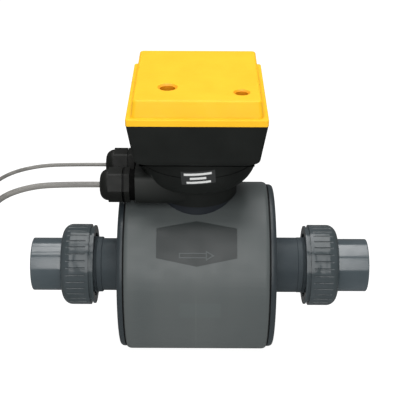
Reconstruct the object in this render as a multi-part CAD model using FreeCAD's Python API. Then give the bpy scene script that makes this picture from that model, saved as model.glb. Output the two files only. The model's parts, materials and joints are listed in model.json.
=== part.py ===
"""Electromagnetic flow meter with union ends, a round magnet housing and a square electronics head.

Millimetres. The origin is the mouth of the inlet socket, on the pipe axis. +X is the flow direction,
+Z points up through the electronics head and +Y to the back.
"""
import FreeCAD, Part
import math
import os
from FreeCAD import Vector

X_AXIS = Vector(1, 0, 0)
Y_AXIS = Vector(0, 1, 0)
Z_AXIS = Vector(0, 0, 1)
ORIGIN = Vector(0, 0, 0)

# ---------------------------------------------------------------- clearances
fit_gap = 0.05            # radial, between pieces that are pushed together
running_gap = 0.1         # radial, between a turning or sliding piece and its guide
face_gap = 0.3            # axial, between faces that move apart
cut_margin = 1.0          # how far a cutting tool stands out of what it cuts

# ---------------------------------------------------------------- pipe unions
bore_d = 25.0
pipe_d = 32.0             # pipe cemented into each end socket
socket_slack = 0.1        # on the diameter
socket_depth = 22.0
socket_wall = 5.15
socket_exposed = 24.4     # length of the end piece outside the nut
collar_length = 6.0
collar_step = 0.8
collar_clear = 1.162      # collar to the pitch line of the nut's thread
edge_round = 0.8
nut_length = 26.2
nut_wall = 9.338          # from the pitch line of the thread
nut_shoulder = 5.0        # end wall that pulls on the collar
nut_round = 8.0
nut_lip = 1.4             # thin lip at the nut's inner end
nut_lip_drop = 0.9        # below the grip
nut_groove = 2.2          # groove between the lip and the grip
nut_groove_depth = 2.2
nut_mouth = 2.438         # relief at the nut's mouth, from the pitch line
nut_mouth_depth = 2.0
grip_count = 36
grip_tool_r = 0.8
grip_depth = 0.7
grip_band = 6.0           # lip, groove and plain band at the nut's inner end
thread_relief = 2.2       # thread left showing behind the nut
ring_length = 3.8
ring_drop = 0.862         # below the pitch line
ring_round = 0.9
inlet_neck_length = 15.3
outlet_neck_length = 19.9
inlet_neck_r = 21.1
outlet_neck_r = 22.1
o_ring_section_r = 1.75
o_ring_wall = 3.9         # from the bore to the ring's groove
o_ring_stand = 0.2        # how far the ring stands out of its groove

# ---------------------------------------------------------------- magnet housing
drum_r = 67.35
drum_wall = 4.0
drum_length = 120.4       # over the outer faces of both caps
cap_inset = 1.95          # caps are this much smaller than the drum
cap_plate = 4.2
cap_round = 2.4
cap_gasket = 0.8
cap_gasket_width = 1.6
spigot_length = 6.5
spigot_wall = 4.0
hub_r = 27.0
hub_length = 9.0
cap_rib_count = 8
cap_rib_width = 3.0
panel_width = 60.6        # hexagonal field on the front of the drum
panel_side = 23.2
panel_height = 35.4
panel_depth = 0.4
panel_angle = 45.0        # above the horizontal
arrow_length = 26.6
arrow_head_length = 6.5
arrow_head_width = 7.6
arrow_shaft_width = 4.1
arrow_line = 0.9
arrow_drop = 9.6          # below the middle of the field

# ---------------------------------------------------------------- sensor inside
tube_wall = 4.0
tube_socket = 14.0        # tube held in each adapter
electrode_r = 1.5
electrode_head_r = 3.5
electrode_head = 1.5
electrode_stand = 0.6     # head proud of the bore
electrode_length = 13.0
electrode_boss_r = 6.0
electrode_boss = 2.0
electrode_nut_width = 5.5
electrode_nut = 3.0
shoe_thickness = 3.4
shoe_length = 36.0
shoe_edge_z = 10.8
core_r = 7.0
core_shoulder = 5.0
coil_seat = 1.05          # coil above the top of the saddle
coil_height = 17.5
coil_r = 19.0
coil_clear = 0.6          # coil to yoke
bobbin_wall = 1.0
yoke_thickness = 3.0
yoke_width = 24.0
screw_r = 2.0             # M4 screws throughout
screw_head_r = 3.6
screw_head = 2.4
screw_slot = 1.0
screw_grip = 11.0
lead_r = 1.1
coil_lead_inset = 3.5     # lead's start inside the edge of the coil

# ---------------------------------------------------------------- turret
turret_r = 24.0
turret_wall = 5.0
turret_inside = 6.0       # tube below the inner wall of the drum
turret_flange = 4.5       # from the turret's wall
turret_flange_rise = 0.5  # above the top of the drum
turret_gasket = 0.8
turret_nut = 5.0
turret_nut_ring = 4.0
turret_nut_key = 4.0      # width of the tool slots

# ---------------------------------------------------------------- junction base
neck_overhang = 2.2       # neck outside the turret's flange
neck_height = 12.0
bowl_foot = 2.3           # step from the neck to the foot of the bowl
bowl_r = 45.4
bowl_height = 19.2
bowl_wall = 3.0
gland_spread = 35.0       # between the two glands
gland_face = 46.5         # from the turret axis to the face the glands screw into
gland_block_rise = 0.55   # block above the foot of the neck
gland_block_floor = 1.8   # material round the gland threads
gland_block_roof = 4.0
gland_block_side = 2.0
gland_block_round = 6.0
gland_block_wall = 3.0
seam_gasket = 0.6
seam_gasket_width = 2.4
seam_gasket_inset = 0.5

# ---------------------------------------------------------------- electronics housing
skirt_height = 11.25
skirt_root = 7.0          # skirt carried up inside the housing's walls
housing_height = 34.3
housing_half_x = 49.8     # at the top
housing_half_y = 57.3
housing_draft = 8.9
housing_corner = 2.5
housing_inner_corner = 3.0
housing_edge = 2.4
housing_wall = 3.0
housing_floor_hole_r = 20.0
joint_screw_inset = 6.7   # from the rim of the bowl
joint_screw_boss_r = 4.2
joint_screw_angles = (40.0, 140.0, 270.0)
joint_screw_grip = 12.0
screw_tip_room = 1.0
lid_gap = 0.2
lid_overhang = 0.2
rim_height = 4.8
rim_corner = 2.0
rim_round = 0.8
panel_rise = 11.5
panel_side_ledge = 3.6    # rim outside the foot of the raised field
panel_front_ledge = 3.0
panel_back_ledge = 1.1
panel_side_lean = 1.2     # field's walls lean in by this much
panel_front_lean = 4.3
panel_back_lean = 0.4
panel_corner = 3.2
panel_round = 1.8
lid_wall = 2.5
lip_height = 3.5
lip_wall = 2.0
lip_gap = 0.25
lip_corner = 2.5
lip_inner_corner = 1.0
lid_gasket_width = 1.4
lid_gasket_height = 1.5
left_well = (-21.3, -23.5, 7.5, 5.4)     # x, y, rim radius, hole radius
right_well = (31.6, -33.2, 6.15, 4.5)
well_dish = 1.2
well_seat_rise = 2.5      # screw seat above the rim's underside
well_seat = 2.8
well_wall = 1.8
post_r = 4.0
post_gap = 0.5
lid_screw_grip = 10.0

# ---------------------------------------------------------------- electronics
board_margin_x = 5.2      # board to housing wall
board_margin_y = 7.3
board_thickness = 1.6
board_rise = 6.0
board_notch = 0.5         # board to the lid screws' posts
board_window_x = 13.0
board_window_y = 18.0
board_screw_spread = 40.0
board_screw_inset = 5.0   # from the board's front and back edges
terminal_length = 34.0
terminal_depth = 12.0
terminal_height = 13.0
terminal_offset = 22.0    # from the turret axis to the wire side
terminal_ways = 6
terminal_way_r = 1.7
terminal_way_rise = 4.3
terminal_way_depth = 6.0
terminal_screw_depth = 4.0
power_module_plan = (-34.0, -18.0, -8.0, 16.0)      # x0, x1, y0, y1
power_module_height = 15.0
board_screw_grip = 6.0

# ---------------------------------------------------------------- cable glands
gland_thread_r = 10.0
gland_nut_wall = 2.0      # thread to the flats of the hexagons
gland_corner = 1.4        # flats to the turned corners
gland_flange = 5.0
gland_shank = 8.0
gland_seal_width = 1.8
front_gland_seal = 4.3
rear_gland_seal = 2.5
gland_dome_length = 17.1
gland_dome_clear = 0.5    # dome nut to flange
gland_dome_round = 6.5
gland_entry_r = 4.6
gland_body_reach = 12.5   # body inside the dome nut
gland_body_wall = 3.3
gland_insert_length = 9.0
gland_insert_lip = 1.6
front_cable_r = 2.3
rear_cable_r = 1.5

# ---------------------------------------------------------------- cables and leads
front_coil_mean_r = 25.0
front_coil_layers = (4, 3)           # turns side by side, turns on each other
rear_coil_mean_r = 18.0
rear_coil_layers = (4, 4)
front_route = [(-100.0, -17.5, 81.0), (-127.0, -18.0, 79.3), (-151.5, -20.0, 70.5),
               (-166.5, -23.5, 51.0), (-171.0, -26.5, 23.0), (-170.3, -28.3, -7.0),
               (-170.0, -28.0, -37.7), (-170.0, -38.0, -55.05), (-170.0, -55.3, -65.05),
               (-170.0, -73.0, -65.05)]
rear_route = [(-98.0, 17.5, 81.0), (-126.0, 17.8, 79.6), (-153.0, 19.5, 71.0),
              (-173.5, 23.0, 52.5), (-182.5, 27.0, 25.5), (-184.3, 30.3, -3.0),
              (-184.2, 30.8, -25.0), (-184.0, 30.0, -46.7), (-184.0, 37.0, -58.85),
              (-184.0, 49.1, -65.85), (-184.0, 62.5, -65.85)]
core_route = [(-34.0, -17.5, 0.0), (-24.0, -15.0, 12.0), (-14.0, -7.0, 26.0),
              (-9.0, -4.5, 40.0), (-8.5, -11.0, 48.5), (-8.5, -22.0, 48.5)]    # from the gland's height
electrode_lead_route = [(0.0, -33.0, 0.0), (6.0, -38.0, 10.0), (17.0, -34.0, 24.0),
                        (19.0, -24.0, 38.0), (12.0, -11.0, 52.0), (7.0, -6.0, 68.0),
                        (6.0, -4.0, 86.0), (6.0, -3.0, 104.0), (6.5, -3.5, 118.0),
                        (8.5, -10.0, 126.6), (8.5, -22.0, 126.6)]
coil_lead_route = [(-15.5, 0.0, 48.0), (-10.0, 0.0, 60.0), (-6.0, 0.0, 74.0),
                   (-5.0, 0.5, 92.0), (-4.0, 2.0, 110.0), (-3.0, 5.0, 121.0),
                   (-2.8, 11.0, 126.6), (-2.8, 22.0, 126.6)]

entries = {               # side, gland seal, cable, route, coil
    "front": (-1, front_gland_seal, front_cable_r, front_route, front_coil_mean_r, front_coil_layers),
    "rear": (1, rear_gland_seal, rear_cable_r, rear_route, rear_coil_mean_r, rear_coil_layers),
}

inlet_reach = (drum_length / 2 + inlet_neck_length + ring_length + thread_relief
               + nut_length + socket_exposed)
meter_x = inlet_reach
bore_r = bore_d / 2
tube_r = bore_r + tube_wall
socket_r = (pipe_d + socket_slack) / 2
barrel_r = socket_r + socket_wall
collar_r = barrel_r + collar_step
thread_pitch_r = collar_r + collar_clear     # threads are plain cylinders at their pitch diameter
nut_r = thread_pitch_r + nut_wall
ring_r = thread_pitch_r - ring_drop
o_ring_mean_r = bore_r + o_ring_wall + o_ring_section_r + fit_gap
cap_r = drum_r - cap_inset
drum_inner_r = drum_r - drum_wall
shell_half = drum_length / 2 - cap_plate - cap_gasket
coil_seat_z = tube_r + fit_gap + shoe_thickness + coil_seat
coil_top_z = coil_seat_z + coil_height
yoke_inner_r = math.hypot(coil_r + bobbin_wall, coil_top_z) + coil_clear
yoke_r = yoke_inner_r + yoke_thickness
turret_flange_r = turret_r + turret_flange
turret_nut_r = turret_r + turret_nut_ring
flange_top_z = drum_r + turret_flange_rise
neck_r = turret_flange_r + neck_overhang
neck_bottom_z = flange_top_z + turret_gasket
bowl_foot_r = neck_r + bowl_foot
bowl_bottom_z = neck_bottom_z + neck_height
bowl_top_z = bowl_bottom_z + bowl_height
bowl_floor_z = bowl_bottom_z + bowl_wall
gland_block_low = neck_bottom_z + gland_block_rise
gland_z = gland_block_low + gland_block_floor + gland_thread_r
gland_block_high = gland_z + gland_thread_r + gland_block_roof
gland_bore_r = gland_thread_r - running_gap - gland_body_wall
gland_width = 2 * (gland_thread_r + gland_nut_wall)
gland_corner_r = gland_width / 2 + gland_corner
joint_screw_circle_r = bowl_r - joint_screw_inset
skirt_bottom_z = bowl_top_z + seam_gasket
housing_bottom_z = skirt_bottom_z + skirt_height
housing_top_z = housing_bottom_z + housing_height
draft_slope = math.tan(math.radians(housing_draft))
floor_top_z = housing_bottom_z + housing_wall
board_z = floor_top_z + board_rise
board_top_z = board_z + board_thickness
board_inset = housing_wall + draft_slope * (housing_top_z - board_z)
board_half_x = housing_half_x - board_inset - board_margin_x
board_half_y = housing_half_y - board_inset - board_margin_y
terminal_top_z = board_top_z + terminal_height
rim_half_x = housing_half_x + lid_overhang
rim_half_y = housing_half_y + lid_overhang
rim_bottom_z = housing_top_z + lid_gap
rim_top_z = rim_bottom_z + rim_height
panel_foot_x = rim_half_x - panel_side_ledge
panel_foot_front = rim_half_y - panel_front_ledge
panel_foot_back = rim_half_y - panel_back_ledge
panel_top_z = rim_top_z + panel_rise
well_seat_z = rim_bottom_z + well_seat_rise


# ---------------------------------------------------------------- shape helpers
def rod(radius, start, end, axis=X_AXIS, at=ORIGIN):
    """Cylinder between two stations along an axis through a point."""
    base = at + axis * start
    return Part.makeCylinder(radius, end - start, base, axis)


def tube(outer, inner, start, end, axis=X_AXIS, at=ORIGIN):
    """Hollow cylinder with open ends."""
    hollow = rod(inner, start - cut_margin, end + cut_margin, axis, at)
    return rod(outer, start, end, axis, at).cut(hollow)


def block(x0, x1, y0, y1, z0, z1):
    return Part.makeBox(x1 - x0, y1 - y0, z1 - z0, Vector(x0, y0, z0))


def hexagon(width, start, end, axis, at=ORIGIN, turn=0.0):
    """Hexagonal prism, given the width across its flats."""
    corner_r = width / 2 / math.cos(math.radians(30))
    side = Vector(0, 0, 1) if axis == X_AXIS else Vector(1, 0, 0)
    other = axis.cross(side)
    points = []
    for index in range(7):
        angle = math.radians(60 * index + turn)
        points.append(at + axis * start + side * (corner_r * math.cos(angle))
                      + other * (corner_r * math.sin(angle)))
    return Part.Face(Part.makePolygon(points)).extrude(axis * (end - start))


def rounded_rectangle(x0, x1, y0, y1, z, radius):
    """Closed wire of a rectangle with rounded corners, lying at height z."""
    quarter = math.sqrt(0.5)
    corners = ((x1, y0, -1, 1), (x1, y1, -1, -1), (x0, y1, 1, -1), (x0, y0, 1, 1))
    edges = []
    ends = []
    for index, (x, y, sx, sy) in enumerate(corners):
        centre = Vector(x + sx * radius, y + sy * radius, z)
        on_x = Vector(x, centre.y, z)
        on_y = Vector(centre.x, y, z)
        first, last = (on_y, on_x) if index % 2 == 0 else (on_x, on_y)
        middle = centre - Vector(sx, sy, 0) * (radius * quarter)
        edges.append(Part.Arc(first, middle, last).toShape())
        ends.append((first, last))
    sides = []
    for index in range(4):
        start = ends[index][1]
        end = ends[(index + 1) % 4][0]
        sides.append(Part.LineSegment(start, end).toShape())
    wire_edges = []
    for arc, side in zip(edges, sides):
        wire_edges += [arc, side]
    return Part.Wire(wire_edges)


def taper_block(low, high, z_low, z_high, radius_low, radius_high):
    """Solid between two rounded rectangles, each given as x0, x1, y0, y1."""
    bottom = rounded_rectangle(*low, z_low, radius_low)
    top = rounded_rectangle(*high, z_high, radius_high)
    return Part.makeLoft([bottom, top], True, True)


def centred(half_x, half_y):
    return (-half_x, half_x, -half_y, half_y)


def round_circles(shape, radius, axial, circle_r, axis=X_AXIS):
    """Round the circular edges that lie at a station and radius on an axis."""
    chosen = []
    for edge in shape.Edges:
        curve = edge.Curve
        if not isinstance(curve, Part.Circle):
            continue
        if abs(curve.Center.dot(axis) - axial) < 0.01 and abs(curve.Radius - circle_r) < 0.01:
            chosen.append(edge)
    return shape.makeFillet(radius, chosen)


def fuse_all(first, others):
    return first.fuse(others).removeSplitter()


def spin(shape, angle, axis=X_AXIS, at=ORIGIN):
    turned = shape.copy()
    turned.rotate(at, axis, angle)
    return turned


def mirror_y(shape):
    return shape.mirror(ORIGIN, Y_AXIS)


def mirror_z(shape):
    return shape.mirror(ORIGIN, Z_AXIS)


# ---------------------------------------------------------------- cable routes
def route_wire(points):
    """Straight runs joined by tangent arcs, each as large as its two runs allow."""
    share = 0.45
    edges = []
    radii = []
    start = points[0]
    for index in range(1, len(points) - 1):
        corner = points[index]
        back = points[index - 1] - corner
        ahead = points[index + 1] - corner
        reach = share * min(back.Length, ahead.Length)
        back.normalize()
        ahead.normalize()
        half_turn = (math.pi - back.getAngle(ahead)) / 2
        radius = reach / math.tan(half_turn)
        entry = corner + back * reach
        leave = corner + ahead * reach
        bisector = back + ahead
        bisector.normalize()
        middle = corner + bisector * (radius / math.cos(half_turn) - radius)
        edges.append(Part.LineSegment(start, entry).toShape())
        edges.append(Part.Arc(entry, middle, leave).toShape())
        radii.append(round(radius, 1))
        start = leave
    edges.append(Part.LineSegment(start, points[-1]).toShape())
    return Part.Wire(edges), radii


def cable(name, points, radius):
    """Round cable swept along a route, with its radii and length printed."""
    route = [Vector(*point) for point in points]
    path, radii = route_wire(route)
    direction = route[1] - route[0]
    profile = Part.Wire([Part.makeCircle(radius, route[0], direction)])
    solid = path.makePipeShell([profile], True, False)
    ideal = math.pi * radius ** 2 * path.Length
    print(name, "radii", radii, "length", round(path.Length, 1),
          "volume ratio", round(solid.Volume / ideal, 4))
    return solid


# ---------------------------------------------------------------- pipe unions
def union_stations(neck_length):
    """Distances outward from the middle of the drum."""
    cap_face = drum_length / 2
    ring = cap_face + neck_length
    thread = ring + ring_length
    nut_in = thread + thread_relief
    nut_out = nut_in + nut_length
    mouth = nut_out + socket_exposed
    collar_out = nut_out - nut_shoulder - face_gap
    collar_in = collar_out - collar_length
    return {"ring": ring, "thread": thread, "nut_in": nut_in, "nut_out": nut_out,
            "mouth": mouth, "collar_out": collar_out, "collar_in": collar_in,
            "seal": collar_in - face_gap}


def make_adapter(neck_radius, at):
    """Threaded piece that carries the measuring tube and takes the union nut."""
    inner_end = drum_length / 2 - hub_length - cut_margin
    tube_stop = inner_end + tube_socket
    thread_r = thread_pitch_r - running_gap / 2
    neck = rod(neck_radius, inner_end, at["ring"])
    ring = rod(ring_r, at["ring"], at["thread"])
    ring = round_circles(ring, ring_round, at["ring"], ring_r)
    thread = rod(thread_r, at["thread"], at["seal"])
    body = fuse_all(neck, [ring, thread])
    groove_floor = at["seal"] + o_ring_stand - 2 * o_ring_section_r
    groove = tube(o_ring_mean_r + o_ring_section_r + fit_gap,
                  o_ring_mean_r - o_ring_section_r - fit_gap,
                  groove_floor, at["seal"] + cut_margin)
    body = body.cut(rod(bore_r, inner_end - cut_margin, at["seal"] + cut_margin))
    body = body.cut(rod(tube_r + fit_gap, inner_end - cut_margin, tube_stop))
    return body.cut(groove)


def make_o_ring(at):
    centre_x = at["seal"] + o_ring_stand - o_ring_section_r
    return Part.makeTorus(o_ring_mean_r, o_ring_section_r, Vector(centre_x, 0, 0), X_AXIS)


def make_union_end(at):
    """Socket piece that the pipe is cemented into, with the collar the nut pulls on."""
    collar = rod(collar_r, at["collar_in"], at["collar_out"])
    barrel = rod(barrel_r, at["collar_in"], at["mouth"])
    body = round_circles(fuse_all(barrel, [collar]), edge_round, at["mouth"], barrel_r)
    body = body.cut(rod(bore_r, at["collar_in"] - cut_margin, at["mouth"]))
    return body.cut(rod(socket_r, at["mouth"] - socket_depth, at["mouth"] + cut_margin))


def make_union_nut(at):
    """Hand nut with a rounded shoulder, grip grooves, a plain band and a lip behind a groove."""
    thread_r = thread_pitch_r + running_gap / 2
    mouth_r = thread_pitch_r + nut_mouth
    body = rod(nut_r, at["nut_in"], at["nut_out"])
    body = round_circles(body, nut_round, at["nut_out"], nut_r)
    lip_end = at["nut_in"] + nut_lip
    body = body.cut(tube(nut_r + cut_margin, nut_r - nut_lip_drop, at["nut_in"], lip_end))
    body = body.cut(tube(nut_r + cut_margin, nut_r - nut_groove_depth, lip_end, lip_end + nut_groove))
    grooves = []
    for index in range(grip_count):
        groove = rod(grip_tool_r, at["nut_in"] + grip_band, at["nut_out"] + cut_margin,
                     X_AXIS, Vector(0, 0, nut_r - grip_depth + grip_tool_r))
        grooves.append(spin(groove, (index + 0.5) * 360 / grip_count))
    body = body.cut(Part.makeCompound(grooves))
    body = body.cut(rod(thread_r, at["nut_in"] - cut_margin, at["nut_out"] - nut_shoulder))
    body = body.cut(rod(mouth_r, at["nut_in"] - cut_margin, at["nut_in"] + nut_mouth_depth))
    return body.cut(rod(barrel_r + running_gap, at["nut_in"], at["nut_out"] + cut_margin))


# ---------------------------------------------------------------- magnet housing
def front_prism(outline):
    """Prism that stands on the drum's front at the field's angle, from (x, up) points."""
    lift = math.radians(panel_angle)
    normal = Vector(0, -math.cos(lift), math.sin(lift))
    up = Vector(0, math.sin(lift), math.cos(lift))
    base = normal * (drum_r / 2)
    points = [base + X_AXIS * x + up * height for x, height in outline]
    points.append(points[0])
    return Part.Face(Part.makePolygon(points)).extrude(normal * drum_r)


def arrow_outline(margin):
    """Flow arrow, drawn this far inside its outer edge."""
    head = arrow_head_width / 2
    shaft = arrow_shaft_width / 2 - margin
    tip = arrow_length / 2
    slope = math.hypot(arrow_head_length, head)
    inner_tip = tip - margin * slope / head
    neck = tip - arrow_head_length + margin
    barb = head - margin * (slope + head) / arrow_head_length
    tail = -tip + margin
    side = [(tail, shaft), (neck, shaft), (neck, barb), (inner_tip, 0.0)]
    other = [(x, -y) for x, y in reversed(side[:-1])]
    return [(x, y - arrow_drop) for x, y in side + other]


def make_drum():
    """Round shell with the turret hole and the hexagonal field with a raised flow arrow."""
    shell = tube(drum_r, drum_inner_r, -shell_half, shell_half)
    hole = rod(turret_r + fit_gap, 0, drum_r + cut_margin, Z_AXIS)
    half = panel_width / 2
    field = [(-half, -panel_side / 2), (0.0, -panel_height / 2), (half, -panel_side / 2),
             (half, panel_side / 2), (0.0, panel_height / 2), (-half, panel_side / 2)]
    arrow = front_prism(arrow_outline(0.0)).cut(front_prism(arrow_outline(arrow_line)))
    skin = tube(drum_r + cut_margin, drum_r - panel_depth, -shell_half, shell_half)
    recess = front_prism(field).cut(arrow).common(skin)
    return shell.cut(hole).cut(recess)


def make_cap(neck_radius):
    """End cap with spigot, hub and stiffening ribs, moulded in one."""
    plate_in = shell_half + cap_gasket
    face = drum_length / 2
    spigot_r = drum_inner_r - fit_gap
    plate = round_circles(rod(cap_r, plate_in, face), cap_round, face, cap_r)
    spigot = tube(spigot_r, spigot_r - spigot_wall, plate_in - spigot_length - cap_gasket, plate_in)
    hub = rod(hub_r, face - hub_length, plate_in)
    ribs = []
    for index in range(cap_rib_count):
        rib = block(plate_in - spigot_length, plate_in, -cap_rib_width / 2, cap_rib_width / 2,
                    hub_r - cut_margin, spigot_r - spigot_wall + cut_margin)
        ribs.append(spin(rib, index * 360 / cap_rib_count))
    body = fuse_all(plate, [spigot, hub] + ribs)
    return body.cut(rod(neck_radius + fit_gap, 0, face + cut_margin))


def make_cap_gasket():
    inner = drum_inner_r + fit_gap
    return tube(inner + cap_gasket_width, inner, shell_half, shell_half + cap_gasket)


# ---------------------------------------------------------------- sensor inside
def make_measuring_tube():
    """Lined tube with two electrode bosses."""
    half = drum_length / 2 - hub_length - cut_margin + tube_socket
    boss = rod(electrode_boss_r, -tube_r - electrode_boss, tube_r + electrode_boss, Y_AXIS)
    body = fuse_all(rod(tube_r, -half, half), [boss])
    body = body.cut(rod(bore_r, -half - cut_margin, half + cut_margin))
    reach = tube_r + electrode_boss + cut_margin
    body = body.cut(rod(electrode_r + fit_gap, -reach, reach, Y_AXIS))
    seat = bore_r - electrode_stand + electrode_head
    return body.cut(rod(electrode_head_r + fit_gap, -seat, seat, Y_AXIS))


def make_electrode():
    """Button-headed pin through the front wall of the measuring tube."""
    head_in = bore_r - electrode_stand
    head = rod(electrode_head_r, -head_in - electrode_head, -head_in, Y_AXIS)
    shank = rod(electrode_r, -head_in - electrode_length, -head_in - electrode_head, Y_AXIS)
    return fuse_all(head, [shank])


def make_electrode_nut():
    seat = tube_r + electrode_boss
    nut = hexagon(electrode_nut_width, -seat - electrode_nut, -seat, Y_AXIS)
    return nut.cut(rod(electrode_r + fit_gap, -seat - electrode_nut - cut_margin, 0, Y_AXIS))


def make_pole_shoe():
    """Saddle on the measuring tube with the iron core of the upper coil."""
    inner = tube_r + fit_gap
    saddle = tube(inner + shoe_thickness, inner, -shoe_length / 2, shoe_length / 2)
    upper = block(-shoe_length, shoe_length, -yoke_r, yoke_r, shoe_edge_z, yoke_r)
    seat = rod(core_r + core_shoulder, tube_r, coil_seat_z, Z_AXIS)
    core = rod(core_r, tube_r, yoke_r, Z_AXIS)
    body = fuse_all(saddle.common(upper), [seat, core])
    body = body.cut(rod(inner, -shoe_length, shoe_length))
    body = body.common(rod(yoke_inner_r - fit_gap, -shoe_length, shoe_length))
    screw_end = yoke_r - screw_head / 2 - screw_grip
    return body.cut(rod(screw_r + fit_gap, screw_end, yoke_r, Z_AXIS))


def make_bobbin():
    sleeve_r = core_r + fit_gap + bobbin_wall
    flange_r = coil_r + bobbin_wall
    body = rod(sleeve_r, coil_seat_z, coil_top_z, Z_AXIS)
    low = rod(flange_r, coil_seat_z, coil_seat_z + bobbin_wall, Z_AXIS)
    high = rod(flange_r, coil_top_z - bobbin_wall, coil_top_z, Z_AXIS)
    return fuse_all(body, [low, high]).cut(rod(core_r + fit_gap, 0, coil_top_z + cut_margin, Z_AXIS))


def make_winding():
    sleeve_r = core_r + fit_gap + bobbin_wall
    return tube(coil_r, sleeve_r + fit_gap, coil_seat_z + bobbin_wall, coil_top_z - bobbin_wall,
                Z_AXIS)


def make_yoke():
    """Iron ring that closes the magnet outside the coils."""
    ring = tube(yoke_r, yoke_inner_r, -yoke_width / 2, yoke_width / 2)
    for sign in (1, -1):
        axis = Z_AXIS * sign
        ring = ring.cut(rod(screw_r + fit_gap, 0, yoke_r + cut_margin, axis))
        ring = ring.cut(rod(screw_head_r + fit_gap, yoke_r - screw_head / 2,
                            yoke_r + cut_margin, axis))
    return ring


def screw(seat, grip, axis, at=ORIGIN):
    """Pan-head screw with its head on a seat, driven against the axis."""
    head = rod(screw_head_r, seat, seat + screw_head, axis, at)
    slot = block(-screw_head_r, screw_head_r, -screw_slot / 2, screw_slot / 2,
                 seat + screw_head / 2, seat + screw_head)
    if axis == Z_AXIS:
        slot.translate(Vector(at.x, at.y, 0))
        head = head.cut(slot)
    return fuse_all(head, [rod(screw_r, seat - grip, seat, axis, at)])


# ---------------------------------------------------------------- turret and junction base
def make_turret():
    """Collar cemented to the drum, with the threaded tube that carries the head."""
    top = bowl_floor_z + turret_nut + cut_margin
    neck = rod(turret_r, drum_inner_r - turret_inside, top, Z_AXIS)
    flange = rod(turret_flange_r, drum_inner_r - turret_inside, flange_top_z, Z_AXIS)
    flange = flange.cut(rod(drum_r, -drum_length, drum_length))
    body = fuse_all(neck, [flange])
    return body.cut(rod(turret_r - turret_wall, 0, top + cut_margin, Z_AXIS))


def make_turret_nut():
    nut = tube(turret_nut_r, turret_r + fit_gap, bowl_floor_z, bowl_floor_z + turret_nut, Z_AXIS)
    key = block(-turret_nut_r, turret_nut_r, -turret_nut_key / 2, turret_nut_key / 2,
                bowl_floor_z + turret_nut / 2, bowl_floor_z + turret_nut + cut_margin)
    return nut.cut(key).cut(spin(key, 90, Z_AXIS))


def bowl_solid(inset, floor_z):
    """Turned bowl body, moved inward from the outer surface by inset."""
    half_angle = math.atan2(bowl_r - bowl_foot_r, bowl_height)
    outer_r = bowl_height / math.sin(2 * half_angle)
    centre_x = bowl_r - outer_r
    arc_r = outer_r - inset
    end_angle = math.asin((bowl_top_z - floor_z) / arc_r)
    rim = Vector(centre_x + arc_r, 0, bowl_top_z)
    foot = Vector(centre_x + arc_r * math.cos(end_angle), 0, floor_z)
    middle = Vector(centre_x + arc_r * math.cos(end_angle / 2), 0,
                    bowl_top_z - arc_r * math.sin(end_angle / 2))
    axis_top = Vector(0, 0, bowl_top_z)
    axis_foot = Vector(0, 0, floor_z)
    edges = [Part.LineSegment(axis_top, rim).toShape(), Part.Arc(rim, middle, foot).toShape(),
             Part.LineSegment(foot, axis_foot).toShape(),
             Part.LineSegment(axis_foot, axis_top).toShape()]
    return Part.Face(Part.Wire(edges)).revolve(ORIGIN, Z_AXIS, 360)


def joint_screw_places():
    places = []
    for angle in joint_screw_angles:
        turn = math.radians(angle)
        places.append(Vector(joint_screw_circle_r * math.cos(turn),
                             joint_screw_circle_r * math.sin(turn), 0))
    return places


def make_junction_base():
    """Bowl, neck and gland block in one moulding."""
    outside = bowl_solid(0.0, bowl_bottom_z)
    hollow = bowl_solid(bowl_wall, bowl_floor_z)
    half = gland_spread / 2 + gland_thread_r + gland_block_side
    gland_block = block(-gland_face, -turret_r - cut_margin, -half, half,
                        gland_block_low, gland_block_high)
    long_edges = [edge for edge in gland_block.Edges
                  if abs(edge.tangentAt(edge.FirstParameter).x) > 0.99]
    gland_block = gland_block.makeFillet(gland_block_round, long_edges)
    thread_room = gland_thread_r + running_gap
    side = gland_spread / 2 + thread_room
    cavity = block(-gland_face + gland_block_wall, -turret_r, -side, side,
                   gland_z - thread_room, gland_block_high - gland_block_wall)
    cavity = cavity.cut(rod(neck_r, 0, bowl_floor_z, Z_AXIS))
    body = outside.fuse([rod(neck_r, neck_bottom_z, bowl_floor_z, Z_AXIS), gland_block])
    body = body.cut(hollow).cut(cavity)
    bosses = []
    for place in joint_screw_places():
        post = rod(joint_screw_boss_r, bowl_bottom_z, bowl_top_z, Z_AXIS, place)
        bosses.append(post.common(outside))
    body = fuse_all(body, bosses)
    body = body.cut(rod(turret_r + fit_gap, 0, bowl_floor_z + cut_margin, Z_AXIS))
    for place in joint_screw_places():
        body = body.cut(rod(screw_r + fit_gap, bowl_top_z - joint_screw_grip,
                            bowl_top_z + cut_margin, Z_AXIS, place))
    for sign in (-1, 1):
        at = Vector(0, sign * gland_spread / 2, gland_z)
        body = body.cut(rod(gland_thread_r + fit_gap, -gland_face - cut_margin,
                            -gland_face + gland_block_wall + cut_margin, X_AXIS, at))
    return body


def make_seam_gasket():
    outer = bowl_r - seam_gasket_inset
    return tube(outer, outer - seam_gasket_width, bowl_top_z, skirt_bottom_z, Z_AXIS)


# ---------------------------------------------------------------- electronics housing
def housing_block(inset, z_low, z_high, corner):
    """Drafted square body, moved inward from the outer walls by inset."""
    low = draft_slope * (housing_top_z - z_low) + inset
    high = draft_slope * (housing_top_z - z_high) + inset
    return taper_block(centred(housing_half_x - low, housing_half_y - low),
                       centred(housing_half_x - high, housing_half_y - high),
                       z_low, z_high, corner, corner)


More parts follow.
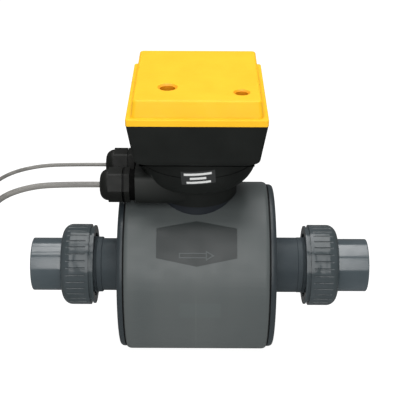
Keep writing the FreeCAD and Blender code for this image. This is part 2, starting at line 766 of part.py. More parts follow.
def make_housing():
    """Square body on a round skirt, with the posts for lid, board and base screws."""
    body = housing_block(0.0, housing_bottom_z, housing_top_z, housing_corner)
    bottom = [edge for edge in body.Edges
              if max(vertex.Z for vertex in edge.Vertexes) < housing_bottom_z + 0.01]
    body = body.makeFillet(housing_edge, bottom)
    skirt = rod(bowl_r, skirt_bottom_z, housing_bottom_z + skirt_root, Z_AXIS)
    body = body.fuse(skirt)
    body = body.cut(housing_block(housing_wall, floor_top_z, housing_top_z + cut_margin,
                                  housing_inner_corner))
    body = body.cut(rod(bowl_r - bowl_wall, 0, housing_bottom_z, Z_AXIS))
    ledge = centred(housing_half_x - housing_wall + lid_gasket_width,
                    housing_half_y - housing_wall + lid_gasket_width)
    body = body.cut(taper_block(ledge, ledge, housing_top_z - lid_gasket_height,
                                housing_top_z + cut_margin,
                                housing_inner_corner, housing_inner_corner))
    posts = []
    for x, y, *_ in (left_well, right_well):
        posts.append(rod(post_r, housing_bottom_z, well_seat_z - well_seat - post_gap,
                         Z_AXIS, Vector(x, y, 0)))
    for place in board_screw_places():
        posts.append(rod(screw_head_r, housing_bottom_z, board_z, Z_AXIS, place))
    for place in joint_screw_places():
        posts.append(rod(joint_screw_boss_r, skirt_bottom_z, floor_top_z, Z_AXIS, place))
    body = fuse_all(body, posts)
    body = body.cut(rod(housing_floor_hole_r, 0, floor_top_z + cut_margin, Z_AXIS))
    holes = []
    for x, y, *_ in (left_well, right_well):
        holes.append(rod(screw_r + running_gap, well_seat_z - lid_screw_grip - screw_tip_room,
                         housing_top_z, Z_AXIS, Vector(x, y, 0)))
    for place in board_screw_places():
        holes.append(rod(screw_r + fit_gap, board_top_z - screw_tip_room - board_screw_grip,
                         board_z + cut_margin, Z_AXIS, place))
    for place in joint_screw_places():
        holes.append(rod(screw_r + fit_gap, 0, floor_top_z + cut_margin, Z_AXIS, place))
    return body.cut(holes)


def make_lid_gasket():
    outer_x = housing_half_x - housing_wall + lid_gasket_width - fit_gap
    outer_y = housing_half_y - housing_wall + lid_gasket_width - fit_gap
    low = housing_top_z - lid_gasket_height
    corner = housing_inner_corner
    width = lid_gasket_width - 2 * fit_gap
    outer_size = centred(outer_x, outer_y)
    inner_size = centred(outer_x - width, outer_y - width)
    outer = taper_block(outer_size, outer_size, low, housing_top_z, corner, corner)
    inner = taper_block(inner_size, inner_size, low - cut_margin, housing_top_z + cut_margin,
                        corner - width, corner - width)
    return outer.cut(inner)


def make_lid():
    """Cover with a raised field, two screw wells and a lip inside the housing."""
    rim = taper_block(centred(rim_half_x, rim_half_y), centred(rim_half_x, rim_half_y),
                      rim_bottom_z, rim_top_z, rim_corner, rim_corner)
    top_edges = [edge for edge in rim.Edges
                 if min(vertex.Z for vertex in edge.Vertexes) > rim_top_z - 0.01]
    rim = rim.makeFillet(rim_round, top_edges)
    foot = (-panel_foot_x, panel_foot_x, -panel_foot_front, panel_foot_back)
    top = (panel_side_lean - panel_foot_x, panel_foot_x - panel_side_lean,
           panel_front_lean - panel_foot_front, panel_foot_back - panel_back_lean)
    field = taper_block(foot, top, rim_top_z - rim_round, panel_top_z, panel_corner, panel_corner)
    field_edges = [edge for edge in field.Edges
                   if min(vertex.Z for vertex in edge.Vertexes) > panel_top_z - 0.01]
    field = field.makeFillet(panel_round, field_edges)
    body = rim.fuse(field)
    inner_foot = (foot[0] + lid_wall, foot[1] - lid_wall, foot[2] + lid_wall, foot[3] - lid_wall)
    inner_top = (top[0] + lid_wall, top[1] - lid_wall, top[2] + lid_wall, top[3] - lid_wall)
    body = body.cut(taper_block(inner_foot, inner_top, rim_bottom_z - fit_gap,
                                panel_top_z - lid_wall,
                                panel_corner - lid_wall, panel_corner - lid_wall))
    inset = housing_wall + draft_slope * (lip_height - lid_gap) + lip_gap
    lip_out = centred(housing_half_x - inset, housing_half_y - inset)
    lip_in = centred(housing_half_x - inset - lip_wall, housing_half_y - inset - lip_wall)
    lip_low = rim_bottom_z - lip_height
    lip_high = rim_bottom_z + cut_margin
    lip = taper_block(lip_out, lip_out, lip_low, lip_high, lip_corner, lip_corner)
    lip = lip.cut(taper_block(lip_in, lip_in, lip_low - cut_margin, lip_high + cut_margin,
                              lip_inner_corner, lip_inner_corner))
    wells = []
    cuts = []
    for x, y, rim_r, hole_r in (left_well, right_well):
        at = Vector(x, y, 0)
        wells.append(rod(hole_r + well_wall, well_seat_z - well_seat, panel_top_z - cut_margin,
                         Z_AXIS, at))
        cuts.append(rod(hole_r, well_seat_z, panel_top_z, Z_AXIS, at))
        cuts.append(rod(screw_r + running_gap, 0, panel_top_z, Z_AXIS, at))
        dish = Part.makeCone(hole_r, rim_r, well_dish, at + Z_AXIS * (panel_top_z - well_dish), Z_AXIS)
        cuts.append(dish)
    body = fuse_all(body, [lip] + wells)
    return body.cut(cuts)


# ---------------------------------------------------------------- electronics
def board_screw_places():
    x = board_screw_spread / 2
    y = board_half_y - board_screw_inset
    return [Vector(sx * x, sy * y, 0) for sx in (-1, 1) for sy in (-1, 1)]


def make_board():
    board = block(-board_half_x, board_half_x, -board_half_y, board_half_y, board_z, board_top_z)
    cuts = [block(-board_window_x, board_window_x, -board_window_y, board_window_y,
                  board_z, board_top_z)]
    for x, y, *_ in (left_well, right_well):
        cuts.append(rod(post_r + board_notch, board_z, board_top_z, Z_AXIS, Vector(x, y, 0)))
    for place in board_screw_places():
        cuts.append(rod(screw_r + fit_gap, board_z, board_top_z, Z_AXIS, place))
    return board.cut(cuts)


def make_terminal_block():
    """Row of cage clamps for the front side of the board."""
    half = terminal_length / 2
    body = block(-half, half, -terminal_offset - terminal_depth, -terminal_offset,
                 board_top_z, terminal_top_z)
    pitch = terminal_length / terminal_ways
    cuts = []
    for index in range(terminal_ways):
        x = -half + pitch * (index + 0.5)
        cuts.append(rod(terminal_way_r, -terminal_offset - terminal_way_depth, -terminal_offset,
                        Y_AXIS, Vector(x, 0, board_top_z + terminal_way_rise)))
        cuts.append(rod(terminal_way_r, terminal_top_z - terminal_screw_depth, terminal_top_z,
                        Z_AXIS, Vector(x, -terminal_offset - terminal_depth / 2, 0)))
    return body.cut(cuts)


def make_power_module():
    """Encapsulated supply on the board, with its case edges rounded."""
    case = block(*power_module_plan, board_top_z, board_top_z + power_module_height)
    upper = [edge for edge in case.Edges if min(v.Z for v in edge.Vertexes) > board_top_z]
    return case.makeFillet(edge_round, upper)


# ---------------------------------------------------------------- cable glands
def gland_stations(seal_length):
    """Distances outward from the turret axis along one gland."""
    flange_in = gland_face + seal_length
    flange_out = flange_in + gland_flange
    dome_in = flange_out + gland_dome_clear
    return {"flange_in": flange_in, "flange_out": flange_out, "dome_in": dome_in,
            "body_end": flange_out + gland_body_reach, "mouth": dome_in + gland_dome_length}


def outward(radius, start, end, at):
    """Cylinder between two stations measured outward along the glands."""
    return rod(radius, -end, -start, X_AXIS, at)


def cut_corners(shape, radius, start, end, at):
    """Turn the corners of a hexagon down to a radius."""
    return shape.common(outward(radius, start, end, at))


def make_gland(at, line, cable_r):
    """Gland body, sealing ring, seal insert and dome nut of one cable entry."""
    shank_in = gland_face - gland_shank
    body_end = at["body_end"]
    flange = hexagon(gland_width, -at["flange_out"], -at["flange_in"], X_AXIS, line, 30)
    flange = cut_corners(flange, gland_corner_r, at["flange_in"], at["flange_out"], line)
    shank = outward(gland_thread_r, shank_in, at["flange_in"], line)
    spout = outward(gland_thread_r - running_gap, at["flange_out"], body_end, line)
    body = fuse_all(flange, [shank, spout])
    body = body.cut(outward(gland_bore_r, shank_in, body_end, line))

    seal = outward(gland_thread_r + gland_seal_width, gland_face, at["flange_in"], line)
    seal = seal.cut(outward(gland_thread_r + fit_gap, gland_face, at["flange_in"], line))

    lip_r = gland_bore_r + gland_insert_lip
    lip_in = body_end + face_gap
    lip_out = at["mouth"] - gland_dome_round / 2
    insert = fuse_all(outward(gland_bore_r - running_gap, body_end - gland_insert_length, lip_in, line),
                      [outward(lip_r, lip_in, lip_out, line)])
    insert = insert.cut(outward(cable_r + running_gap, 0, at["mouth"], line))

    flats_end = at["mouth"] - gland_dome_round
    dome = hexagon(gland_width, -flats_end, -at["dome_in"], X_AXIS, line, 30)
    dome = cut_corners(dome, gland_corner_r, at["dome_in"], flats_end, line)
    crown = outward(gland_width / 2, at["dome_in"], at["mouth"], line)
    crown = round_circles(crown, gland_dome_round, -at["mouth"], gland_width / 2)
    dome = fuse_all(dome, [crown])
    dome = dome.cut(outward(gland_thread_r, at["dome_in"], lip_in, line))
    dome = dome.cut(outward(lip_r + running_gap, at["dome_in"], lip_out + face_gap, line))
    dome = dome.cut(outward(gland_entry_r, at["dome_in"], at["mouth"], line))
    return {"gland_body": body, "gland_seal": seal, "gland_insert": insert, "gland_nut": dome}


# ---------------------------------------------------------------- cables and leads
def make_coil(end, radius, mean_r, layers, turn_side):
    """Outer shape of the wound length, met by the cable at a corner of its outer turn."""
    across, high = layers
    outer_r = mean_r + across * radius
    outer_turn_r = outer_r - radius
    inner_r = mean_r - across * radius
    reach = math.sqrt(outer_r ** 2 - (outer_turn_r - radius) ** 2)
    centre = Vector(end[0] - outer_turn_r, end[1] + turn_side * reach, 0)
    low = end[2] - radius
    return tube(outer_r, inner_r, low, low + 2 * radius * high, Z_AXIS, centre)


def make_entry(name):
    """One cable entry: its gland, the cable outside, its coil and the core inside."""
    side, seal_length, radius, route, mean_r, layers = entries[name]
    at = gland_stations(seal_length)
    line = Vector(0, side * gland_spread / 2, gland_z)
    pieces = make_gland(at, line, radius)
    exit_point = (-at["mouth"], line.y, line.z)
    core = [exit_point] + [(x, -side * y, gland_z + z) for x, y, z in core_route]
    pieces["cable"] = cable(f"{name}_cable", [exit_point] + route, radius)
    pieces["cable_coil"] = make_coil(route[-1], radius, mean_r, layers, side)
    pieces["cable_core"] = cable(f"{name}_cable_core", core, radius)
    return pieces


def make_electrode_lead():
    pin_end = (0.0, electrode_stand - bore_r - electrode_length, 0.0)
    return cable("electrode_lead", [pin_end] + electrode_lead_route, lead_r)


def make_coil_lead():
    start = (coil_lead_inset - coil_r, 0.0, coil_top_z)
    return cable("coil_lead", [start] + coil_lead_route, lead_r)


# ---------------------------------------------------------------- assembly
def place_meter(shape):
    """Move a piece from the middle of the drum to its place in the part's frame."""
    moved = shape.copy()
    moved.translate(Vector(meter_x, 0, 0))
    return moved


def place_side(side, shape):
    """Turn a piece to the inlet side if it belongs there, and place it."""
    return place_meter(spin(shape, 180, Z_AXIS) if side == "inlet" else shape)


def build():
    parts = {}
    for side, neck_length, neck_radius in (("inlet", inlet_neck_length, inlet_neck_r),
                                           ("outlet", outlet_neck_length, outlet_neck_r)):
        at = union_stations(neck_length)
        pieces = {"union_end": make_union_end(at), "union_nut": make_union_nut(at),
                  "o_ring": make_o_ring(at), "adapter": make_adapter(neck_radius, at),
                  "cap": make_cap(neck_radius), "cap_gasket": make_cap_gasket()}
        for name, shape in pieces.items():
            parts[f"{side}_{name}"] = place_side(side, shape)

    middle = {"drum": make_drum(), "measuring_tube": make_measuring_tube(),
              "return_yoke": make_yoke(), "turret_collar": make_turret(),
              "turret_nut": make_turret_nut(), "junction_base": make_junction_base(),
              "seam_gasket": make_seam_gasket(), "housing": make_housing(),
              "lid_gasket": make_lid_gasket(), "lid": make_lid(), "board": make_board()}
    middle["turret_gasket"] = tube(turret_flange_r - face_gap, turret_r + fit_gap,
                                   flange_top_z, neck_bottom_z, Z_AXIS)
    middle["upper_pole_shoe"] = make_pole_shoe()
    middle["lower_pole_shoe"] = mirror_z(make_pole_shoe())
    middle["upper_bobbin"] = make_bobbin()
    middle["lower_bobbin"] = mirror_z(make_bobbin())
    middle["upper_winding"] = make_winding()
    middle["lower_winding"] = mirror_z(make_winding())
    middle["front_electrode"] = make_electrode()
    middle["rear_electrode"] = mirror_y(make_electrode())
    nut = make_electrode_nut()
    middle["electrode_nuts"] = Part.makeCompound([nut, mirror_y(nut)])
    yoke_screw = screw(yoke_r - screw_head / 2, screw_grip, Z_AXIS)
    middle["yoke_screws"] = Part.makeCompound([yoke_screw, mirror_z(yoke_screw)])
    middle["front_terminals"] = make_terminal_block()
    middle["rear_terminals"] = mirror_y(make_terminal_block())
    middle["board_screws"] = Part.makeCompound(
        [screw(board_top_z, board_screw_grip, Z_AXIS, place) for place in board_screw_places()])
    joint_grip = floor_top_z - bowl_top_z + joint_screw_grip - screw_tip_room
    middle["housing_screws"] = Part.makeCompound(
        [screw(floor_top_z, joint_grip, Z_AXIS, place) for place in joint_screw_places()])
    for name, well in (("left_lid_screw", left_well), ("right_lid_screw", right_well)):
        middle[name] = screw(well_seat_z, lid_screw_grip, Z_AXIS, Vector(well[0], well[1], 0))
    for name in entries:
        for piece, shape in make_entry(name).items():
            middle[f"{name}_{piece}"] = shape
    middle["power_module"] = make_power_module()
    middle["coil_lead"] = make_coil_lead()
    lead = make_electrode_lead()
    middle["front_electrode_lead"] = lead
    middle["rear_electrode_lead"] = mirror_y(lead)

    for name, shape in middle.items():
        parts[name] = place_meter(shape)
    return parts


if __name__ == "__main__":
    os.makedirs("parts", exist_ok=True)
    for node, solid in build().items():
        if not solid.isValid():
            print("not valid:", node)
        solid.exportStep(f"parts/{node}.step")
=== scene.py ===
"""Looks of the electromagnetic flow meter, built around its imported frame.

Metres. The frame's origin is the mouth of the inlet socket, on the pipe axis: +X is the flow
direction, +Y the back and +Z up through the electronics head.
"""
import json
import math

import bmesh
import bpy
from mathutils import Matrix, Vector
from mathutils.bvhtree import BVHTree


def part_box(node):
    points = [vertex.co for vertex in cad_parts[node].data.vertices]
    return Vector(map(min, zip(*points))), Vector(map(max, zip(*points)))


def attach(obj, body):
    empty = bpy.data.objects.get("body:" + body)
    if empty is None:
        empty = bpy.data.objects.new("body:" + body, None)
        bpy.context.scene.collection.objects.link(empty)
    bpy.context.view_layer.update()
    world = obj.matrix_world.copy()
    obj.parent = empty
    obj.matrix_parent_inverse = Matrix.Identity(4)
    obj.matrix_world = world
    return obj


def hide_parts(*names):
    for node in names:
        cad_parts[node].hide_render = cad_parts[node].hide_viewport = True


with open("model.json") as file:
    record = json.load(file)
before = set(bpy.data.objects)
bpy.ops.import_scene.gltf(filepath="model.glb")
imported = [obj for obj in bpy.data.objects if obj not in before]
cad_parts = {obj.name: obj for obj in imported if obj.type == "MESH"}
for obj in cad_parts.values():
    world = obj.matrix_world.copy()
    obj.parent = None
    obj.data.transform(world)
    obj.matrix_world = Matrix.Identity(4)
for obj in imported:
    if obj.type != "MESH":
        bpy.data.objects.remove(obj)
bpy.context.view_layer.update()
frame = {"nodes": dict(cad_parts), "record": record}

MM = 0.001
TAU = 2 * math.pi
X_AXIS, Y_AXIS, Z_AXIS = Vector((1, 0, 0)), Vector((0, 1, 0)), Vector((0, 0, 1))

# Places and sizes that come from the frame. The turret's axis stands at METER_X.
DRUM_LOW, DRUM_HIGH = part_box("drum")
METER_X = (DRUM_LOW[0] + DRUM_HIGH[0]) / 2
DRUM_R = (DRUM_HIGH[1] - DRUM_LOW[1]) / 2
DRUM_HALF = (DRUM_HIGH[0] - DRUM_LOW[0]) / 2
FLOOR_Z = DRUM_LOW[2]
AXIS = Vector((METER_X, 0.0, 0.0))

# Sunk hexagonal field on the drum's front: sizes, and its angle above the horizontal in degrees.
FIELD_WIDTH = 60.6 * MM
FIELD_SIDE = 23.2 * MM
FIELD_HEIGHT = 35.4 * MM
FIELD_ANGLE = 45.0
FIELD_EDGE = 0.3 * MM
ARROW = {"length": 26.6 * MM, "head": 6.5 * MM, "width": 7.6 * MM, "shaft": 4.1 * MM,
         "line": 0.9 * MM, "drop": 9.6 * MM, "edge": 0.12 * MM}
FLANK_SQUARE = 0.86      # from a distance across the arrow to one square to its head's flank

# Marks on the drum that are colour only. A pair is the range over which a mark comes or goes.
PATCH_X = 2.7 * MM
PATCH_HALF_X = (15.0 * MM, 16.2 * MM)
PATCH_HALF_Z = (5.7 * MM, 6.7 * MM)
PATCH_BACK = (-10.0 * MM, 10.0 * MM)
PARTING_X = -0.4 * MM
PARTING_HALF = (0.25 * MM, 0.6 * MM)
PARTING_TOP = (6.0 * MM, 14.0 * MM)
# Ring of painted shade at each end of the shell, where it meets its cap.
JOINT_SHADE = (DRUM_HALF - 0.9 * MM, DRUM_HALF - 0.3 * MM)

# Head, in heights above the pipe axis and distances from the turret's axis.
HOUSING_HALF = (49.8 * MM, 57.3 * MM)      # at the top
HOUSING_TOP = 146.0 * MM
HOUSING_FOOT = 111.7 * MM
HOUSING_DRAFT = math.radians(8.9)
SKIRT_R = 45.4 * MM
SKIRT_LOW = 100.45 * MM
BOWL_TOP = 99.85 * MM
PANEL_TOP = 162.5 * MM
BOARD_TOP = 122.3      # millimetres, as all places on the board are
GLAND_BLOCK = {"half": 29.5 * MM, "low": 69.2 * MM, "high": 95.0 * MM, "round": 6.0 * MM}

# Screw wells in the lid: x, y and rim radius in millimetres, and where the painted shade in them
# begins: orange below the panel top, dark brown deep down.
WELLS = ((-21.3, -23.5, 7.5), (31.6, -33.2, 6.15))
WELL_WALL = (-0.4, 0.3)      # millimetres from the rim radius
WELL_RIM_SHADE = (PANEL_TOP - 0.25 * MM, PANEL_TOP - 0.05 * MM)
WELL_DEEP_SHADE = (PANEL_TOP - 5.4 * MM, PANEL_TOP - 4.6 * MM)

# Painted shade on the gland bodies, deep behind their dome nuts, and a painted sheen on the two
# sides of the gland block.
GLAND_GAP_SHADE = (-54.9 * MM, -54.3 * MM)
SHEEN_SIDE = ((28.2 * MM, 29.3 * MM), (29.6 * MM, 29.8 * MM))
SHEEN_HEIGHT = ((75.0 * MM, 93.0 * MM), (95.0 * MM, 95.2 * MM))
SHEEN_END = (-40.0 * MM, -6.0 * MM)

# Material noise: scales per metre, and the ranges of its values that are spread out.
CLOUD_SCALE = 38.0
GLOSS_SCALE = 160.0
MID_NOISE = (0.35, 0.65)
WIDE_NOISE = (0.3, 0.7)


# ---------------------------------------------------------------- shader nodes
class Shade:
    """A node material with a Principled shader, built up by small steps."""

    def __init__(self, name, color, roughness, **sockets):
        self.material = bpy.data.materials.new(name)
        self.material.use_nodes = True
        self.tree = self.material.node_tree
        self.shader = self.tree.nodes["Principled BSDF"]
        self.shader.inputs["Base Color"].default_value = (*color, 1.0)
        self.shader.inputs["Roughness"].default_value = roughness
        for socket, value in sockets.items():
            self.shader.inputs[socket.replace("_", " ")].default_value = value
        self.place = self.tree.nodes.new("ShaderNodeTexCoord").outputs["Object"]
        self.normal = None

    def node(self, kind, **settings):
        made = self.tree.nodes.new(kind)
        for key, value in settings.items():
            setattr(made, key, value)
        return made

    def wire(self, output, target):
        self.tree.links.new(output, target)

    def stretched(self, scale=(1, 1, 1), shift=(0, 0, 0)):
        """Object coordinates, scaled and moved."""
        mapping = self.node("ShaderNodeMapping")
        mapping.inputs["Scale"].default_value = scale
        mapping.inputs["Location"].default_value = shift
        self.wire(self.place, mapping.inputs["Vector"])
        return mapping.outputs["Vector"]

    def from_turret(self, x=0.0, y=0.0):
        """X, Y and Z from the turret's axis, or from a place beside it."""
        split = self.node("ShaderNodeSeparateXYZ")
        self.wire(self.stretched(shift=(-METER_X - x, -y, 0)), split.inputs["Vector"])
        return [split.outputs[axis] for axis in "XYZ"]

    def noise(self, scale, detail=3.0, vector=None):
        made = self.node("ShaderNodeTexNoise")
        made.inputs["Scale"].default_value = scale
        made.inputs["Detail"].default_value = detail
        self.wire(vector or self.place, made.inputs["Vector"])
        return made.outputs["Fac"]

    def remap(self, value, low, high, out_low, out_high):
        made = self.node("ShaderNodeMapRange")
        self.wire(value, made.inputs["Value"])
        for socket, number in (("From Min", low), ("From Max", high),
                               ("To Min", out_low), ("To Max", out_high)):
            made.inputs[socket].default_value = number
        return made.outputs["Result"]

    def rise(self, value, low, high):
        """Nothing up to low, one from high on."""
        return self.remap(value, low, high, 0.0, 1.0)

    def fall(self, value, low, high):
        """One up to low, nothing from high on."""
        return self.remap(value, low, high, 1.0, 0.0)

    def band(self, value, low, high, soft):
        """One between low and high, falling to nothing over a soft edge."""
        return self.product(self.rise(value, low - soft, low + soft),
                            self.fall(value, high - soft, high + soft))

    def math(self, operation, first, second=0.0):
        made = self.node("ShaderNodeMath", operation=operation)
        for index, value in enumerate((first, second)):
            if isinstance(value, (int, float)):
                made.inputs[index].default_value = value
            else:
                self.wire(value, made.inputs[index])
        return made.outputs["Value"]

    def product(self, first, *others):
        for other in others:
            first = self.math("MULTIPLY", first, other)
        return first

    def distance(self, value, middle=0.0):
        """How far a value is from a middle one, without its sign."""
        if middle:
            value = self.math("SUBTRACT", value, middle)
        return self.math("ABSOLUTE", value)

    def tint(self, factor, low, high):
        """Base colour between two colours."""
        made = self.node("ShaderNodeMix", data_type="RGBA")
        made.inputs["A"].default_value = (*low, 1.0)
        made.inputs["B"].default_value = (*high, 1.0)
        self.wire(factor, made.inputs["Factor"])
        self.wire(made.outputs["Result"], self.shader.inputs["Base Color"])

    def over(self, factor, paint):
        """A colour laid over the present base colour where the factor is one."""
        made = self.node("ShaderNodeMix", data_type="RGBA")
        self.wire(self.shader.inputs["Base Color"].links[0].from_socket, made.inputs["A"])
        made.inputs["B"].default_value = (*paint, 1.0)
        self.wire(factor, made.inputs["Factor"])
        self.wire(made.outputs["Result"], self.shader.inputs["Base Color"])

    def roughen(self, value, low, high):
        self.wire(self.remap(value, *WIDE_NOISE, low, high), self.shader.inputs["Roughness"])

    def bump(self, value, strength, distance):
        """Relief, added to what is there already."""
        made = self.node("ShaderNodeBump")
        made.inputs["Strength"].default_value = strength
        made.inputs["Distance"].default_value = distance
        self.wire(value, made.inputs["Height"])
        if self.normal is not None:
            self.wire(self.normal, made.inputs["Normal"])
        self.normal = made.outputs["Normal"]
        self.wire(self.normal, self.shader.inputs["Normal"])


def moulded(name, low, high, rough_low, rough_high, grain=900.0, depth=0.04 * MM, **sockets):
    """Moulded plastic: cloudy colour, uneven gloss and a fine surface grain."""
    shade = Shade(name, low, rough_low, **sockets)
    shade.tint(shade.rise(shade.noise(CLOUD_SCALE, 4.0), *MID_NOISE), low, high)
    shade.roughen(shade.noise(GLOSS_SCALE), rough_low, rough_high)
    shade.bump(shade.noise(grain, 2.0), 0.35, depth)
    return shade


def union_pvc(name="union_pvc", low=(0.056, 0.073, 0.082), high=(0.072, 0.089, 0.099),
              gloss=0.72, wave_depth=0.6 * MM, wave_scale=(0.35, 1.0, 1.0)):
    """Glossy blue-grey PVC with faint sink marks and hairline scratches along the axis."""
    shade = moulded(name, low, high, 0.13, 0.22, Specular_IOR_Level=gloss)
    wave = shade.noise(55.0, 1.0, shade.stretched(wave_scale))
    shade.bump(wave, 0.25, wave_depth)
    scratch = shade.noise(420.0, 2.0, shade.stretched((0.06, 1.0, 1.0)))
    shade.bump(scratch, 0.12, 0.06 * MM)
    return shade.material


def arrow_mask(shade, along, up):
    """One on the outline of the flow arrow, from places along the drum and up the field."""
    tip = ARROW["length"] / 2
    neck = tip - ARROW["head"]
    aside = shade.distance(up, -ARROW["drop"])
    shaft = shade.math("SUBTRACT", ARROW["shaft"] / 2, aside)
    shaft = shade.math("MINIMUM", shaft, shade.math("SUBTRACT", along, -tip))
    shaft = shade.math("MINIMUM", shaft, shade.math("SUBTRACT", neck + ARROW["line"], along))
    slope = ARROW["width"] / 2 / ARROW["head"]
    flank = shade.product(shade.math("SUBTRACT", tip, along), slope)
    flank = shade.product(shade.math("SUBTRACT", flank, aside), FLANK_SQUARE)
    head = shade.math("MINIMUM", flank, shade.math("SUBTRACT", along, neck))
    depth = shade.math("MAXIMUM", shaft, head)
    return shade.band(depth, 0.0, ARROW["line"], ARROW["edge"])


def field_mask(shade):
    """Masks of the sunk hexagonal field on the front of the drum and of the arrow in it."""
    along, back, height = shade.from_turret()
    across = shade.distance(along)
    lift = math.radians(FIELD_ANGLE)
    up = shade.math("ADD", shade.product(back, math.sin(lift)),
                    shade.product(height, math.cos(lift)))
    out = shade.math("SUBTRACT", shade.product(height, math.sin(lift)),
                     shade.product(back, math.cos(lift)))
    slope = (FIELD_HEIGHT - FIELD_SIDE) / FIELD_WIDTH
    reach = shade.math("ADD", shade.distance(up), shade.product(across, slope))
    inside = shade.fall(reach, FIELD_HEIGHT / 2 - FIELD_EDGE, FIELD_HEIGHT / 2 + FIELD_EDGE)
    within = shade.fall(across, FIELD_WIDTH / 2 - FIELD_EDGE, FIELD_WIDTH / 2 + FIELD_EDGE)
    field = shade.product(inside, within, shade.rise(out, 0.0, FIELD_EDGE))
    return field, shade.product(field, arrow_mask(shade, along, up))


def drum_pvc():
    """Satin grey shell, drawn along its length, with its sunk field, its marks and a ring of
    painted shade at each end where it meets a cap.
    """
    shade = Shade("drum_pvc", (0.12, 0.13, 0.13), 0.42, Specular_IOR_Level=0.35)
    rings = shade.noise(26.0, 3.0, shade.stretched((1.0, 0.12, 0.12)))
    shade.tint(shade.rise(rings, *WIDE_NOISE), (0.080, 0.092, 0.092), (0.097, 0.108, 0.107))
    field, arrow = field_mask(shade)
    along, back, height = shade.from_turret()
    patch = shade.product(shade.fall(shade.distance(along, PATCH_X), *PATCH_HALF_X),
                          shade.fall(shade.distance(height), *PATCH_HALF_Z),
                          shade.fall(back, *PATCH_BACK))
    parting = shade.product(
        shade.remap(shade.distance(along, PARTING_X), *PARTING_HALF, 0.5, 0.0),
        shade.fall(height, *PARTING_TOP))
    # Painted shade: a dark ring at each end, where the shell meets its cap.
    joint_shade = shade.rise(shade.distance(along), *JOINT_SHADE)
    for mask, paint in ((field, (0.031, 0.037, 0.037)), (arrow, (0.072, 0.083, 0.084)),
                        (patch, (0.096, 0.110, 0.109)), (parting, (0.116, 0.130, 0.128)),
                        (joint_shade, (0.012, 0.014, 0.015))):
        shade.over(mask, paint)
    shade.roughen(shade.noise(70.0, 4.0), 0.36, 0.5)
    shade.bump(shade.noise(700.0, 2.0), 0.2, 0.04 * MM)
    shade.bump(rings, 0.1, 0.4 * MM)
    return shade.material


def cap_pvc(name="cap_pvc", low=(0.030, 0.038, 0.043), high=(0.038, 0.047, 0.052), gloss=0.3):
    return moulded(name, low, high, 0.3, 0.42, Specular_IOR_Level=gloss).material


def matt_black(name):
    """Spark-eroded matt black moulding."""
    return moulded(name, (0.0095, 0.0108, 0.0100), (0.0125, 0.0140, 0.0130), 0.5, 0.62,
                   grain=1500.0, depth=0.05 * MM, Specular_IOR_Level=0.12)


def base_plastic():
    """Black moulding of the junction base, with a painted sheen that makes the gland block's two
    sides a little paler towards the top.
    """
    shade = matt_black("base_plastic")
    along, back, height = shade.from_turret()
    side = shade.distance(back)
    mask = shade.product(shade.rise(side, *SHEEN_SIDE[0]), shade.fall(side, *SHEEN_SIDE[1]),
                         shade.rise(height, *SHEEN_HEIGHT[0]),
                         shade.fall(height, *SHEEN_HEIGHT[1]),
                         shade.fall(along, *SHEEN_END))
    # Painted sheen: the paler grey stands for light caught on the block's sides, growing with
    # height and fading towards the neck.
    shade.over(mask, (0.046, 0.048, 0.046))
    return shade.material


def yellow_lid():
    """Yellow moulding, with painted shade inside the two screw wells: orange below the rim, dark
    brown deep down.
    """
    shade = moulded("yellow_lid", (0.90, 0.492, 0.013), (0.94, 0.523, 0.016), 0.42, 0.55,
                    grain=1300.0, Specular_IOR_Level=0.22)
    for x, y, radius in WELLS:
        along, back, height = shade.from_turret(x * MM, y * MM)
        square = shade.math("ADD", shade.product(along, along), shade.product(back, back))
        start, end = ((radius + step) * MM for step in WELL_WALL)
        inside = shade.fall(shade.math("SQRT", square), start, end)
        # Painted shade in each well: orange below the panel top, dark brown deep down.
        shade.over(shade.product(inside, shade.fall(height, *WELL_RIM_SHADE)), (0.84, 0.33, 0.009))
        shade.over(shade.product(inside, shade.fall(height, *WELL_DEEP_SHADE)), (0.20, 0.055, 0.004))
    return shade.material


def gland_nylon(name, rough_low, rough_high, gloss):
    return moulded(name, (0.0085, 0.0090, 0.0082), (0.012, 0.0125, 0.0115),
                   rough_low, rough_high, Specular_IOR_Level=gloss)


def gland_body_nylon():
    """Gland body, with painted shade that makes it black where it lies deep behind the dome nut."""
    shade = gland_nylon("gland_body_nylon", 0.4, 0.5, 0.1)
    along = shade.from_turret()[0]
    # Painted shade: black on the body where it lies deep behind the dome nut.
    shade.over(shade.fall(along, *GLAND_GAP_SHADE), (0.0008, 0.0008, 0.0008))
    return shade.material


def rubber(name, low, high, gloss):
    return moulded(name, (low, low, low), (high, high, high), 0.6, 0.8,
                   Specular_IOR_Level=gloss).material


def cable_jacket(name, low, high):
    """Grey jacket with faint lengthwise streaks."""
    shade = Shade(name, low, 0.45)
    streak = shade.noise(300.0, 3.0, shade.stretched((0.05, 1.0, 1.0)))
    shade.tint(shade.rise(streak, *MID_NOISE), low, high)
    shade.roughen(shade.noise(250.0), 0.4, 0.55)
    shade.bump(streak, 0.2, 0.1 * MM)
    return shade.material


def brushed_metal(name, low, high, roughness):
    shade = Shade(name, low, roughness, Metallic=1.0)
    grain = shade.noise(500.0, 3.0, shade.stretched((1.0, 1.0, 0.08)))
    shade.tint(grain, low, high)
    shade.roughen(grain, roughness, roughness + 0.18)
    shade.bump(grain, 0.2, 0.05 * MM)
    return shade.material


def copper_winding():
    """Enamelled wire laid turn on turn round the core."""
    shade = Shade("copper_winding", (0.45, 0.16, 0.06), 0.25, Metallic=0.9)
    wave = shade.node("ShaderNodeTexWave", bands_direction="Z")
    wave.inputs["Scale"].default_value = 620.0
    shade.wire(shade.place, wave.inputs["Vector"])
    shade.tint(wave.outputs["Fac"], (0.3, 0.09, 0.03), (0.62, 0.25, 0.09))
    shade.bump(wave.outputs["Fac"], 0.8, 0.4 * MM)
    return shade.material


